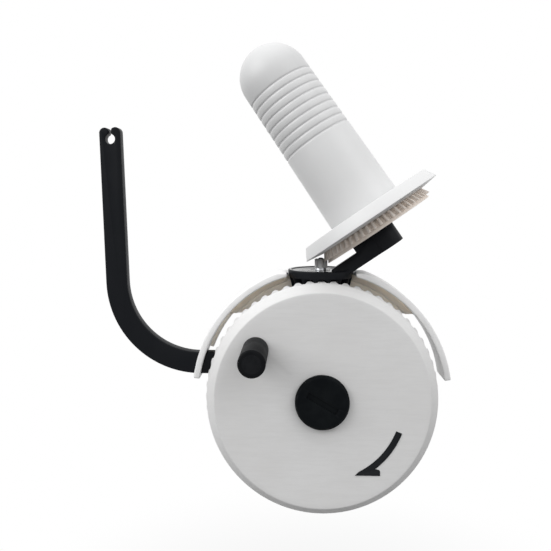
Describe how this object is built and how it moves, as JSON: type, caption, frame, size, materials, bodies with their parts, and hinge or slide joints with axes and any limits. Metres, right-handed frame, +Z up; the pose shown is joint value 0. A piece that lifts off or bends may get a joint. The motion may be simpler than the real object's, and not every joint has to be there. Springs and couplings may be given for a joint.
{
  "type": "yarn ball winder",
  "caption": "Hand-cranked yarn ball winder with a large toothed drive wheel, tilted spool on a turning rotor, bent yarn guide arm and table clamp.",
  "frame": {"origin": "middle of the clamp seat's rubber pad, on the table top", "axes": "+X to the right of the person winding, +Y away from them over the table, +Z up"},
  "size_m": [0.2453, 0.1393, 0.3471],
  "materials": {
    "white_plastic": "fine satin moulded",
    "black_plastic": "satin moulded",
    "steel": "turned",
    "bronze": "plain bearing bronze",
    "rubber": "matt"
  },
  "bodies": {
    "frame": {"main_frame": "white_plastic", "table_pad": "rubber", "guard_left": "white_plastic", "guard_right": "white_plastic", "guard_screws": "steel", "axle_stud": "steel", "axle_washer": "steel", "axle_cap": "black_plastic", "rotor_post": "steel", "post_nut": "steel", "sun_pinion": "white_plastic", "sun_screw": "steel", "clamp_nut": "bronze"},
    "wheel": {"drive_wheel": "white_plastic", "axle_bush": "bronze", "direction_arrow": "black_plastic", "crank_pin": "steel"},
    "crank": {"crank_knob": "black_plastic", "knob_end_cap": "black_plastic"},
    "rotor": {"rotor": "black_plastic", "rotor_bush": "bronze", "spool_axle": "steel", "thrust_washer": "bronze", "axle_retainer": "steel"},
    "spool": {"spool_core": "white_plastic", "spool_flange": "white_plastic", "spool_gear": "white_plastic", "spool_bush": "bronze"},
    "guide": {"guide_arm": "black_plastic"},
    "pressure_pad": {"clamp_pad": "black_plastic"},
    "clamp_screw": {"clamp_screw": "steel", "clamp_knob": "black_plastic"}
  },
  "joints": [
    {"name": "wheel_spin", "type": "hinge", "parent": "frame", "child": "wheel", "pos_m": [0, -0.073, 0.025], "axis": [0, 1, 0], "continuous": true},
    {"name": "knob_spin", "type": "hinge", "parent": "wheel", "child": "crank", "pos_m": [-0.0447, -0.073, 0.0597], "axis": [0, 1, 0], "continuous": true},
    {"name": "rotor_spin", "type": "hinge", "parent": "frame", "child": "rotor", "pos_m": [0, -0.04275, 0.1027], "axis": [0, 0, 1], "continuous": true},
    {"name": "spool_spin", "type": "hinge", "parent": "rotor", "child": "spool", "pos_m": [0, -0.04275, 0.1988], "axis": [-0.5575, 0.0823, 0.8261], "continuous": true},
    {"name": "guide_pull", "type": "slide", "parent": "frame", "child": "guide", "axis": [-1, 0, 0], "range_m": [0, 0.03]},
    {"name": "pad_slide", "type": "slide", "parent": "frame", "child": "pressure_pad", "axis": [0, 0, 1], "range_m": [-0.017, 0.008]},
    {"name": "screw_turn", "type": "hinge", "parent": "pressure_pad", "child": "clamp_screw", "pos_m": [0, 0, -0.04], "axis": [0, 0, 1], "range_deg": [-1224, 576]}
  ],
  "couplings": [
    {"joint": "rotor_spin", "follows": "wheel_spin", "ratio": 4},
    {"joint": "spool_spin", "follows": "wheel_spin", "ratio": 0.35088},
    {"joint": "pad_slide", "follows": "screw_turn", "m_per_rad": 0.00079577}
  ]
}
